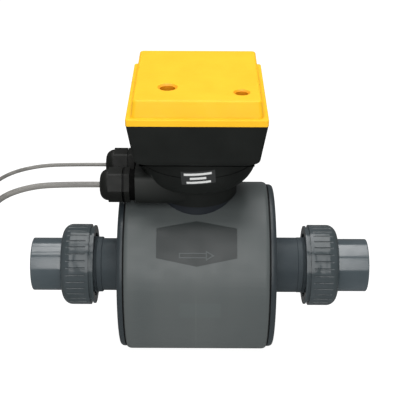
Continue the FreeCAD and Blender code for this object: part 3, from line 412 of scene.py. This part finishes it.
def board_green():
    """Varnished board with a fine pattern of tracks under the varnish."""
    shade = Shade("board_green", (0.01, 0.09, 0.03), 0.25)
    tracks = shade.node("ShaderNodeTexBrick")
    tracks.inputs["Scale"].default_value = 180.0
    tracks.inputs["Mortar Size"].default_value = 0.06
    shade.wire(shade.place, tracks.inputs["Vector"])
    shade.tint(tracks.outputs["Fac"], (0.008, 0.07, 0.025), (0.02, 0.16, 0.05))
    shade.bump(tracks.outputs["Fac"], 0.3, 0.06 * MM)
    return shade.material


# ---------------------------------------------------------------- carried-over nodes
def paint_nodes():
    """Give every node of the frame the finish of its slot, or the one for its kind of part."""
    by_slot = {
        "grey_pvc": union_pvc(),
        "housing_pvc": drum_pvc(),
        "dark_pvc": cap_pvc(),
        "black_plastic": matt_black("black_housing").material,
        "yellow_plastic": yellow_lid(),
        "gland_nylon": gland_nylon("gland_nylon", 0.36, 0.48, 0.13).material,
        "rubber": rubber("black_rubber", 0.006, 0.010, 0.1),
        "steel": brushed_metal("steel", (0.5, 0.5, 0.51), (0.68, 0.68, 0.69), 0.25),
        "copper": copper_winding(),
        "board": board_green(),
        "liner": moulded("liner", (0.07, 0.08, 0.09), (0.09, 0.1, 0.11), 0.3, 0.4).material,
        "terminal_green": moulded("terminal_green", (0.01, 0.14, 0.04), (0.015, 0.17, 0.05),
                                  0.35, 0.45).material,
        "cable_jacket": cable_jacket("cable_jacket", (0.16, 0.155, 0.145), (0.24, 0.232, 0.215)),
        "lead_jacket": moulded("lead_jacket", (0.3, 0.02, 0.015), (0.36, 0.03, 0.02),
                               0.35, 0.5).material,
    }
    by_ending = {
        "_adapter": cap_pvc("neck_pvc", (0.048, 0.059, 0.066), (0.058, 0.070, 0.077), 0.05),
        "_union_nut": union_pvc("nut_pvc", (0.044, 0.056, 0.060), (0.058, 0.070, 0.076), 0.33,
                                3.0 * MM, (2.2, 1.0, 1.0)),
        "turret_collar": cap_pvc("collar_pvc", (0.018, 0.021, 0.026), (0.023, 0.027, 0.032), 0.15),
        "junction_base": base_plastic(),
        "gland_body": gland_body_nylon(),
        "gland_seal": rubber("gland_seal_rubber", 0.001, 0.002, 0.05),
    }
    for part in frame["record"]["subparts"]:
        finish = by_slot[part["material_slot"]]
        for ending, own in by_ending.items():
            if part["node"].endswith(ending):
                finish = own
        for slot in frame["nodes"][part["node"]].material_slots:
            slot.material = finish
    return by_slot


# ---------------------------------------------------------------- shapes finer than the frame's
def copy_of(node):
    """Welded copy of a node's mesh, to be shaped further."""
    shape = bmesh.new()
    shape.from_mesh(frame["nodes"][node].data)
    bmesh.ops.remove_doubles(shape, verts=shape.verts, dist=0.002 * MM)
    return shape


def material_of(node):
    return frame["nodes"][node].material_slots[0].material


def slice_up(shape, axis, places):
    """New edges where planes square to an axis cut the mesh."""
    for place in places:
        everything = shape.verts[:] + shape.edges[:] + shape.faces[:]
        bmesh.ops.bisect_plane(shape, geom=everything, dist=0.001 * MM,
                               plane_co=axis * place, plane_no=axis)


def join_rings(shape, rings):
    """Faces between closed rings of vertices, and one across each end."""
    for first, second in zip(rings, rings[1:]):
        for index in range(len(first)):
            after = (index + 1) % len(first)
            shape.faces.new((first[index], first[after], second[after], second[index]))
    shape.faces.new(rings[0])
    shape.faces.new(rings[-1])


def finish_piece(name, shape, body, material, sharp_from=32.0):
    """Turn a bmesh into a piece that rides on a body, with edges sharp from an angle in degrees."""
    mesh = bpy.data.meshes.new(name)
    bmesh.ops.recalc_face_normals(shape, faces=shape.faces)
    shape.to_mesh(mesh)
    shape.free()
    if "custom_normal" in mesh.attributes:
        mesh.attributes.remove(mesh.attributes["custom_normal"])
    mesh.shade_smooth()
    mesh.set_sharp_from_angle(angle=math.radians(sharp_from))
    mesh.materials.append(material)
    made = bpy.data.objects.new(name, mesh)
    bpy.context.scene.collection.objects.link(made)
    weighted = made.modifiers.new("weighted", "WEIGHTED_NORMAL")
    weighted.keep_sharp = True
    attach(made, body)
    return made


def corner_steps(size):
    """Distances from a face at which a rounded edge gets its rings."""
    count = 7
    return [size * (1 - math.cos(math.pi / 2 * step / count)) for step in range(1, count + 1)]


def rim_drop(depth, length, drop):
    """How far a rounded rim is drawn in, at a depth behind its face."""
    part = min(1.0, (length - depth) / length)
    return drop * (1 - math.sqrt(1 - part ** 2))


def draw_in(vert, factor):
    """Move a vertex towards the pipe axis."""
    vert.co.y *= factor
    vert.co.z *= factor


def rounded_drum():
    """The drum's shell with its two ends drawn in to the caps."""
    length, drop, skin = 4.0 * MM, 2.0 * MM, 0.6 * MM
    shape = copy_of("drum")
    for side in (-1, 1):
        slice_up(shape, X_AXIS,
                 [METER_X + side * (DRUM_HALF - step) for step in corner_steps(length)])
    for vert in shape.verts:
        radius = math.hypot(vert.co.y, vert.co.z)
        depth = DRUM_HALF - abs(vert.co.x - METER_X)
        if radius >= DRUM_R - skin and depth <= length:
            draw_in(vert, 1 - rim_drop(depth, length, drop) / DRUM_R)
    made = finish_piece("drum_shell", shape, "meter", material_of("drum"))
    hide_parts("drum")


def rounded_caps():
    """End caps with their outer rims drawn in further than on the frame."""
    length, drop, skin = 3.4 * MM, 2.2 * MM, 1.2 * MM
    for side, direction in (("inlet", -1), ("outlet", 1)):
        node = side + "_cap"
        low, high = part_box(node)
        radius = (high[1] - low[1]) / 2
        face = abs((low[0] if direction < 0 else high[0]) - METER_X)
        shape = copy_of(node)
        slice_up(shape, X_AXIS,
                 [METER_X + direction * (face - step) for step in corner_steps(length)])
        for vert in shape.verts:
            reach = math.hypot(vert.co.y, vert.co.z)
            depth = face - abs(vert.co.x - METER_X)
            if reach >= radius - skin and depth <= length:
                draw_in(vert, min(1.0, (radius - rim_drop(depth, length, drop)) / reach))
        made = finish_piece(side + "_end_cap", shape, "meter", material_of(node))
        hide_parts(node)


def edge_inset(radius, rise):
    """How far a rounded lower edge stands in from the leaning wall, at a height above its foot."""
    if rise >= radius * (1 - math.sin(HOUSING_DRAFT)):
        return 0.0
    fall = radius - rise
    return (radius / math.cos(HOUSING_DRAFT) - fall * math.tan(HOUSING_DRAFT)
            - math.sqrt(max(0.0, radius ** 2 - fall ** 2)))


def arc_wall(shape, outer, inner, low, high, middle, half_angle, steps):
    """Closed stretch of a round wall about the turret's axis; half_angle pi makes a ring."""
    ring = half_angle >= math.pi
    sections = []
    for step in range(steps if ring else steps + 1):
        angle = middle - half_angle + 2 * half_angle * step / steps
        sections.append([shape.verts.new((METER_X + radius * math.cos(angle),
                                          radius * math.sin(angle), height))
                         for radius, height in ((outer, low), (outer, high),
                                                (inner, high), (inner, low))])
    count = len(sections)
    for index in range(count if ring else count - 1):
        here, there = sections[index], sections[(index + 1) % count]
        for corner in range(4):
            after = (corner + 1) % 4
            shape.faces.new((here[corner], there[corner], there[after], here[after]))
    if not ring:
        shape.faces.new(sections[0])
        shape.faces.new(sections[-1])


def round_lower_edges(shape):
    """Move the housing's lower vertices from its small rounding to a larger one."""
    old_round, new_round, wall, slack = 2.4 * MM, 6.6 * MM, 2.75 * MM, 0.01 * MM
    top_corner, low_corner = 2.5 * MM, 10.0 * MM
    cuts_x = (26, 28, 30, 32, 34, 36, 38, 40, 41.5)      # millimetres
    cuts_y = (33, 35, 37, 39, 41, 43, 45, 47, 49)
    slice_up(shape, Z_AXIS, [HOUSING_FOOT + step for step in corner_steps(new_round)])
    for side in (-1, 1):
        slice_up(shape, X_AXIS, [METER_X + side * place * MM for place in cuts_x])
        slice_up(shape, Y_AXIS, [side * place * MM for place in cuts_y])
    for vert in shape.verts:
        rise = vert.co.z - HOUSING_FOOT
        if not -slack < rise < new_round:
            continue
        lean = math.tan(HOUSING_DRAFT) * (HOUSING_TOP - vert.co.z)
        half_x, half_y = (half - lean for half in HOUSING_HALF)
        x = vert.co.x - METER_X
        if min(half_x - abs(x), half_y - abs(vert.co.y)) > wall:
            continue
        old, new = edge_inset(old_round, rise), edge_inset(new_round, rise)
        x *= (half_x - new) / (half_x - old)
        y = vert.co.y * (half_y - new) / (half_y - old)
        corner = top_corner + (low_corner - top_corner) * (1 - rise / new_round) ** 2
        past_x = abs(x) - (half_x - new - corner)
        past_y = abs(y) - (half_y - new - corner)
        reach = math.hypot(past_x, past_y)
        if past_x > 0 and past_y > 0 and reach > corner:
            x = math.copysign(half_x - new - corner + past_x * corner / reach, x)
            y = math.copysign(half_y - new - corner + past_y * corner / reach, y)
        vert.co.x, vert.co.y = METER_X + x, y


def rounded_housing():
    """The housing with its lower edges more rounded, and its skirt drawn over the new edge."""
    shape = copy_of("housing")
    round_lower_edges(shape)
    skin = SKIRT_R + 0.01 * MM
    ring_low, ring_top, ring_wall = SKIRT_LOW + 0.1 * MM, 114.6 * MM, 2.4 * MM
    arc_low, arc_top, arc_thick, arc_half = 114.5 * MM, 118.6 * MM, 1.5 * MM, math.radians(16)
    arc_wall(shape, skin, skin - ring_wall, ring_low, ring_top, 0.0, math.pi, steps=128)
    for middle in (0.0, math.pi):
        arc_wall(shape, skin, skin - arc_thick, arc_low, arc_top, middle, arc_half, steps=14)
    made = finish_piece("housing_shell", shape, "meter", material_of("housing"))
    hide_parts("housing")


def gland_cheeks():
    """The sides of the gland block carried on until they run out on the neck."""
    half, low, high, bend = (GLAND_BLOCK[key] for key in ("half", "low", "high", "round"))
    thick, skin, stations = 9.0 * MM, 0.03 * MM, (-26.5, -20.0, -12.0, -4.0)
    quarter = [math.pi / 2 * step / 8 for step in range(9)]
    profile = [(half - thick, low + skin)]
    profile += [(half - bend + (bend - skin) * math.sin(angle),
                 low + bend - (bend - skin) * math.cos(angle)) for angle in quarter]
    profile += [(half - bend + (bend - skin) * math.cos(angle),
                 high - bend + (bend - skin) * math.sin(angle)) for angle in quarter]
    profile.append((half - thick, high - skin))
    for name, side in (("front_block_cheek", -1), ("rear_block_cheek", 1)):
        shape = bmesh.new()
        join_rings(shape, [[shape.verts.new((METER_X + x * MM, side * y, z)) for y, z in profile]
                           for x in stations])
        finish_piece(name, shape, "meter", material_of("junction_base"))


def threaded_adapters():
    """Union threads cut as a true helix where the nut leaves them in sight and just under it."""
    pitch, depth, inner_limit = 2.309 * MM, 1.25 * MM, 23.0 * MM
    spacing, count, slack = 0.22 * MM, 34, 0.01 * MM
    for side, start, direction in (("inlet", 79.3 * MM, -1), ("outlet", 83.9 * MM, 1)):
        node = side + "_adapter"
        shape = copy_of(node)
        slice_up(shape, X_AXIS,
                 [METER_X + direction * (start + spacing * step) for step in range(1, count)])
        for vert in shape.verts:
            along = direction * (vert.co.x - METER_X) - start
            radius = math.hypot(vert.co.y, vert.co.z)
            if radius < inner_limit or along > spacing * (count - 1) + slack:
                continue
            phase = along / pitch + math.atan2(vert.co.z, vert.co.y) / TAU
            draw_in(vert, 1 - depth * (0.5 + 0.5 * math.cos(TAU * phase)) / radius)
        made = finish_piece(side + "_threaded_neck", shape, "meter",
                            material_of(node), sharp_from=40.0)
        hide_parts(node)


def bowl_tree():
    """Search tree of the junction base, to find its outer face."""
    mesh = frame["nodes"]["junction_base"].data
    return BVHTree.FromPolygons([vert.co for vert in mesh.vertices],
                                [tuple(face.vertices) for face in mesh.polygons])


def close_plate(shape, front, back):
    """Faces over a plate's front and back, given as rows of vertices, and round its rim."""
    for grid in (front, back):
        for first, second in zip(grid, grid[1:]):
            for column in range(len(first) - 1):
                shape.faces.new((first[column], first[column + 1],
                                 second[column + 1], second[column]))
    outer, inner = ([*grid[0], *(line[-1] for line in grid[1:-1]), *reversed(grid[-1]),
                     *(line[0] for line in reversed(grid[1:-1]))] for grid in (front, back))
    for index in range(len(outer)):
        shape.faces.new((outer[index - 1], outer[index], inner[index], inner[index - 1]))


def wrapped_plate(name, tree, centre, size, lift, material):
    """Thin plate that follows the skirt and the bowl, all sizes in millimetres.

    Its centre is given from the plate's middle, which lies on the seam a little to the right.
    """
    columns, rows, thick = 40, 16, 0.12
    plate_x, plate_z, tilt = 1.0, 100.5, math.radians(4.0)
    far = 0.07      # metres from the axis, outside the bowl
    shape = bmesh.new()
    front = []
    for row in range(rows + 1):
        line = []
        for column in range(columns + 1):
            u = centre[0] + size[0] * (column / columns - 0.5)
            v = centre[1] + size[1] * (row / rows - 0.5)
            along = plate_x + u * math.cos(tilt) - v * math.sin(tilt)
            height = (plate_z + u * math.sin(tilt) + v * math.cos(tilt)) * MM
            angle = along * MM / SKIRT_R
            out = Vector((math.sin(angle), -math.cos(angle), 0.0))
            foot = Vector((METER_X, 0, height))
            radius = SKIRT_R
            if height < BOWL_TOP - 0.1 * MM:
                hit = tree.ray_cast(foot + out * far, -out)[0]
                radius = math.hypot(hit.x - METER_X, hit.y) if hit else SKIRT_R
            line.append(shape.verts.new(foot + out * (radius + lift * MM)))
        front.append(line)
    back = [[shape.verts.new(vert.co + Vector((METER_X - vert.co.x, -vert.co.y, 0)).normalized()
                             * thick * MM) for vert in line] for line in front]
    close_plate(shape, front, back)
    finish_piece(name, shape, "meter", material)


def seal_plate():
    """Bare seal plate over the bowl's seam, with three plain bars where its lines would be."""
    tree = bowl_tree()
    plate = moulded("seal_plate", (0.024, 0.026, 0.026), (0.030, 0.032, 0.032), 0.4, 0.5).material
    white = moulded("seal_bars", (0.62, 0.63, 0.62), (0.72, 0.73, 0.72), 0.45, 0.55).material
    wrapped_plate("seal_plate", tree, (0.0, 0.0), (25.3, 10.6), 0.16, plate)
    bars = ((-0.2, 3.1, 20.3), (-0.2, -0.2, 12.0), (0.1, -3.5, 17.9))      # x, z, width
    for number, (x, z, width) in enumerate(bars, 1):
        wrapped_plate(f"seal_bar_{number}", tree, (x, z), (width, 1.7), 0.24, white)


# ---------------------------------------------------------------- small parts on the board
CHIPS = ((25.0, 0.0, 10.0, 10.0, 8), (25.0, -15.0, 6.0, 5.0, 4),
         (-27.0, -12.5, 5.0, 6.2, 4))      # x, y, width, length, legs on a side
CANS = ((30.0, 14.0, 4.0, 9.5), (21.0, 17.5, 3.2, 8.0),
        (-26.0, 24.0, 5.0, 11.5))          # x, y, radius, height
CERAMIC_FIELDS = ((-33.0, 30.0), (19.5, 26.0))      # first of three rows of five
CERAMIC_PITCH = (3.4, 3.0)
CERAMIC_SIZE = (2.0, 1.25, 0.7)


def add_box(shape, middle, size, bevel):
    """Box with bevelled edges: middle of its foot and size, in millimetres from the turret."""
    made = bmesh.ops.create_cube(shape, size=1.0)["verts"]
    for vert in made:
        vert.co = Vector((METER_X + (middle[0] + vert.co.x * size[0]) * MM,
                          (middle[1] + vert.co.y * size[1]) * MM,
                          (middle[2] + (vert.co.z + 0.5) * size[2]) * MM))
    edges = list(dict.fromkeys(edge for vert in made for edge in vert.link_edges))
    bmesh.ops.bevel(shape, geom=edges, offset=bevel * MM, segments=2, affect="EDGES")


def add_turned(shape, middle, profile):
    """Turned part on an upright axis, from (radius, height) pairs in millimetres."""
    steps = 28
    join_rings(shape, [
        [shape.verts.new((METER_X + (middle[0] + radius * math.cos(TAU * step / steps)) * MM,
                          (middle[1] + radius * math.sin(TAU * step / steps)) * MM,
                          (middle[2] + height) * MM)) for step in range(steps)]
        for radius, height in profile])


def add_chip(body, pins, x, y, width, length, legs):
    """Chip with a row of legs on its left and right."""
    add_box(body, (x, y, BOARD_TOP + 0.25), (width, length, 1.5), 0.25)
    for leg in range(legs):
        place = (leg - (legs - 1) / 2) * length / legs
        for side in (-1, 1):
            add_box(pins, (x + side * (width / 2 + 0.5), y + place, BOARD_TOP),
                    (1.3, 0.45, 0.35), 0.08)


def add_can(body, pins, x, y, radius, high):
    """Upright capacitor: sleeved can with a groove round its foot and a bare metal top."""
    add_turned(body, (x, y, BOARD_TOP),
               ((radius - 0.5, 0.0), (radius, 0.5), (radius, 1.4), (radius - 0.35, 1.9),
                (radius, 2.4), (radius, high - 0.5), (radius - 0.5, high)))
    add_turned(pins, (x, y, BOARD_TOP + high - 0.05),
               ((radius - 0.7, 0.0), (radius - 0.8, 0.12), (0.3, 0.14)))


def board_parts():
    """Small parts on the circuit board, seen once the cover is lifted."""
    epoxy = moulded("board_epoxy", (0.012, 0.012, 0.013), (0.02, 0.02, 0.021), 0.35, 0.5).material
    tin = brushed_metal("board_tin", (0.55, 0.55, 0.56), (0.72, 0.72, 0.73), 0.22)
    sleeve = moulded("board_sleeve", (0.01, 0.02, 0.06), (0.015, 0.028, 0.08), 0.28, 0.4).material
    ceramic = moulded("board_ceramic", (0.30, 0.20, 0.11), (0.36, 0.25, 0.14), 0.4, 0.5).material
    chips, pins, cans, ceramics = (bmesh.new() for _ in range(4))
    for chip in CHIPS:
        add_chip(chips, pins, *chip)
    for can in CANS:
        add_can(cans, pins, *can)
    for row in range(3):
        for column in range(5):
            for x, y in CERAMIC_FIELDS:
                place = (x + CERAMIC_PITCH[0] * column, y + CERAMIC_PITCH[1] * row, BOARD_TOP)
                add_box(ceramics, place, CERAMIC_SIZE, 0.12)
    for name, shape, material in (("board_chips", chips, epoxy), ("board_pins", pins, tin),
                                  ("board_cans", cans, sleeve),
                                  ("board_ceramics", ceramics, ceramic)):
        finish_piece(name, shape, "meter", material)


# ---------------------------------------------------------------- cords
# Route points are in millimetres from the turret's axis, from a cable's gland to its coil.
FRONT_ROUTE = [(-73.4, -17.5, 81.0), (-100.0, -17.5, 81.0), (-127.0, -18.0, 79.3),
               (-151.5, -20.0, 70.5), (-166.5, -23.5, 51.0), (-171.0, -26.5, 23.0),
               (-170.3, -28.3, -7.0), (-170.0, -28.0, -37.7), (-170.0, -38.0, -55.05),
               (-170.0, -55.3, -65.05), (-170.0, -73.0, -65.05)]
REAR_ROUTE = [(-71.6, 17.5, 81.0), (-98.0, 17.5, 81.0), (-126.0, 17.8, 79.6),
              (-153.0, 19.5, 71.0), (-173.5, 23.0, 52.5), (-182.5, 27.0, 25.5),
              (-184.3, 30.3, -3.0), (-184.2, 30.8, -25.0), (-184.0, 30.0, -46.7),
              (-184.0, 37.0, -58.85), (-184.0, 49.1, -65.85), (-184.0, 62.5, -65.85)]
FRONT_CABLE_R = 2.3 * MM
REAR_CABLE_R = 1.5 * MM


def coil_points(end, radius, mean_r, across, side, turns):
    """Turns laid side by side, in layers across turns wide, from the outer one inward and back."""
    per_turn = 16
    outer_turn_r = mean_r + (across - 1) * radius
    reach = math.sqrt((outer_turn_r + radius) ** 2 - (outer_turn_r - radius) ** 2)
    centre = Vector((end.x - outer_turn_r, end.y + side * reach, 0.0))
    points = []
    for step in range(int(turns * per_turn) + 1):
        turn = step / per_turn
        layer = int(turn // across)
        inside = turn - layer * across
        track = min(inside, across - 1.0)
        climb = max(0.0, inside - (across - 1.0))
        if layer % 2:
            track = across - 1.0 - track
        angle = side * TAU * turn
        ring = outer_turn_r - 2 * radius * track
        height = end.z + 2 * radius * (layer + climb)
        points.append(Vector((centre.x + ring * math.cos(angle),
                              centre.y + ring * math.sin(angle), height)))
    return points


def spline_curve(name, points, radius, material):
    """Round cord along one smooth spline."""
    curve = bpy.data.curves.new(name, "CURVE")
    curve.dimensions = "3D"
    curve.bevel_depth = radius
    curve.bevel_resolution = 5
    curve.resolution_u = 6
    curve.use_fill_caps = True
    spline = curve.splines.new("NURBS")
    spline.points.add(len(points) - 1)
    for slot, point in zip(spline.points, points):
        slot.co = (*point, 1.0)
    spline.order_u = 3
    spline.use_endpoint_u = True
    curve.materials.append(material)
    made = bpy.data.objects.new(name, curve)
    bpy.context.scene.collection.objects.link(made)
    return made


def make_cord(name, route, radius, mean_r, across, side, turns, material):
    """Cable from its gland down to the floor and round a coil."""
    points = [Vector((METER_X + x * MM, y * MM, z * MM)) for x, y, z in route]
    points += coil_points(points[-1], radius, mean_r, across, side, turns)
    cord = spline_curve(name, points, radius, material)
    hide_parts(name.replace("_cord", ""), name.replace("_cord", "_coil"))
    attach(cord, "meter")


# ---------------------------------------------------------------- stage
CAMERA_PLACE = Vector((2.3, -695.4, 422.5)) * MM      # from the middle of the drum
CAMERA_LOOK = math.radians(62.4)
CAMERA_ROLL = math.radians(0.25)
SOFTBOX_SIZE = (0.8, 1.5)
LIGHT_AIM = Vector((0, 0, 0.04))
FLOOR_GLOW = ((-0.36, 0.8), (-0.11, 0.96))      # place along Y and strength, in front and behind
WORLD_STRENGTH = 0.12


def make_camera():
    camera = bpy.data.cameras.new("camera")
    camera.lens = 90.0
    camera.sensor_width = 36.0
    camera.clip_end = 20.0
    made = bpy.data.objects.new("camera", camera)
    made.location = AXIS + CAMERA_PLACE
    made.rotation_euler = (Matrix.Rotation(CAMERA_LOOK, 3, "X")
                           @ Matrix.Rotation(CAMERA_ROLL, 3, "Z")).to_euler()
    bpy.context.scene.collection.objects.link(made)
    bpy.context.scene.camera = made


def make_softbox(name, elevation, distance, radiance):
    """Area light that faces the object, its elevation in degrees from straight in front."""
    width, height = SOFTBOX_SIZE
    light = bpy.data.lights.new(name, "AREA")
    light.shape = "RECTANGLE"
    light.size = width
    light.size_y = height
    light.energy = radiance * math.pi * width * height
    made = bpy.data.objects.new(name, light)
    up = math.radians(elevation)
    away = Vector((0.0, -math.cos(up), math.sin(up)))
    made.location = AXIS + LIGHT_AIM + away * distance
    made.rotation_euler = away.to_track_quat("Z", "Y").to_euler()
    bpy.context.scene.collection.objects.link(made)


def make_floor():
    """Pale studio table that glows by itself, less towards the front."""
    mesh = bpy.data.meshes.new("floor")
    shape = bmesh.new()
    bmesh.ops.create_grid(shape, x_segments=2, y_segments=2, size=6.0)
    shape.to_mesh(mesh)
    shape.free()
    floor = bpy.data.objects.new("floor", mesh)
    floor.location = (METER_X, 0.0, FLOOR_Z)
    shade = Shade("floor", (0.16, 0.16, 0.16), 0.8, Specular_IOR_Level=0.0)
    shade.shader.inputs["Emission Color"].default_value = (1.0, 1.0, 1.0, 1.0)
    split = shade.node("ShaderNodeSeparateXYZ")
    shade.wire(shade.place, split.inputs["Vector"])
    (front, front_glow), (rear, rear_glow) = FLOOR_GLOW
    glow = shade.remap(split.outputs["Y"], front, rear, front_glow, rear_glow)
    shade.wire(glow, shade.shader.inputs["Emission Strength"])
    mesh.materials.append(shade.material)
    floor.visible_glossy = False
    bpy.context.scene.collection.objects.link(floor)


def make_world():
    world = bpy.data.worlds.new("studio")
    world.use_nodes = True
    back = world.node_tree.nodes["Background"]
    back.inputs["Color"].default_value = (1.0, 1.0, 1.0, 1.0)
    back.inputs["Strength"].default_value = WORLD_STRENGTH
    bpy.context.scene.world = world


# ---------------------------------------------------------------- build
make_camera()
make_world()
make_floor()
make_softbox("front_softbox", elevation=34.0, distance=1.5, radiance=3.9)
make_softbox("top_softbox", elevation=100.0, distance=1.3, radiance=5.0)
bpy.context.scene.view_settings.view_transform = "Standard"

finishes = paint_nodes()
make_cord("front_cable_cord", FRONT_ROUTE, FRONT_CABLE_R, mean_r=25.0 * MM, across=4,
          side=-1, turns=11.147, material=finishes["cable_jacket"])
make_cord("rear_cable_cord", REAR_ROUTE, REAR_CABLE_R, mean_r=18.0 * MM, across=4,
          side=1, turns=15.464, material=finishes["cable_jacket"])

rounded_drum()
rounded_caps()
rounded_housing()
board_parts()
gland_cheeks()
threaded_adapters()
seal_plate()
